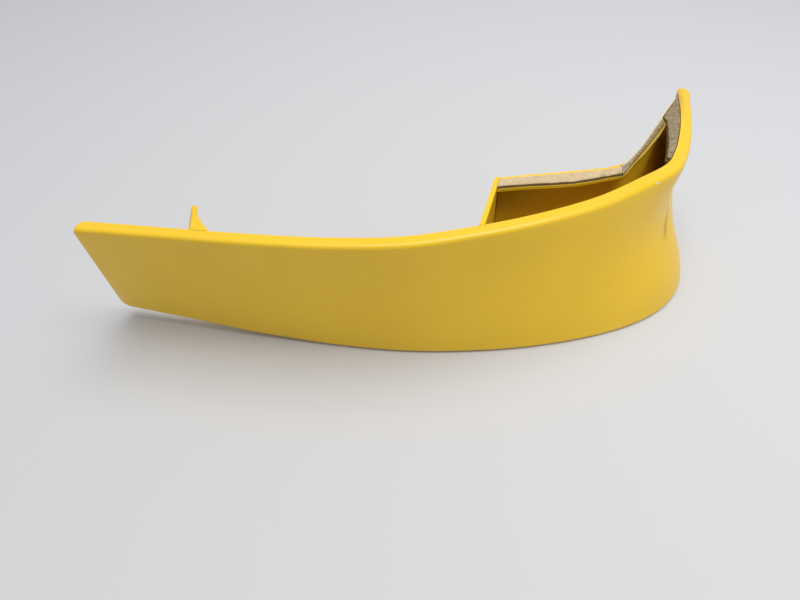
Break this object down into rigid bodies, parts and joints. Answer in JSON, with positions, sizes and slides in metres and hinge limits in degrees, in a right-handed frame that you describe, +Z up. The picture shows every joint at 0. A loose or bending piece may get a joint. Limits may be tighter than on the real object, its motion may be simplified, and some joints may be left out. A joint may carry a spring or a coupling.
{
  "type": "rear wing end section",
  "caption": "Curved body-colour end section of a rear wing with a rolled rim, a hollow taped mounting foot and a small rear tab.",
  "frame": {"origin": "middle of the outline seen from above, at the level of the lip the part stands on", "axes": "+X along the wing towards the foot and its tip, +Y from the outer face towards the bodywork behind, +Z up towards the rim plane that meets the bodywork"},
  "size_m": [0.609, 0.2725, 0.1433],
  "materials": {
    "paint": "gloss solid yellow paint on fibreglass, scuffed on the rim",
    "core_foam": "rigid structural foam",
    "adhesive": "cured structural adhesive",
    "tape_foam": "closed-cell foam tape",
    "liner": "cream paper release liner, slightly creased",
    "residue": "torn tape skin with dirt",
    "residue_grey": "dirty, bubbled tape skin"
  },
  "bodies": {
    "root": {"outer_skin": "paint", "blade_back_skin": "paint", "blade_core": "core_foam", "blade_end_plug": "paint", "bond_blade_lip": "adhesive", "foot_end_wall": "paint", "foot_back_wall": "paint", "foot_floor": "paint", "bond_floor_lip": "adhesive", "tape_shelf": "paint", "tape_back_foam": "tape_foam", "tape_back_liner": "liner", "tape_slant_foam": "tape_foam", "tape_slant_residue": "residue", "tape_side_foam": "tape_foam", "tape_side_residue": "residue_grey", "blade_tab": "paint", "tab_bond": "adhesive"}
  },
  "joints": []
}
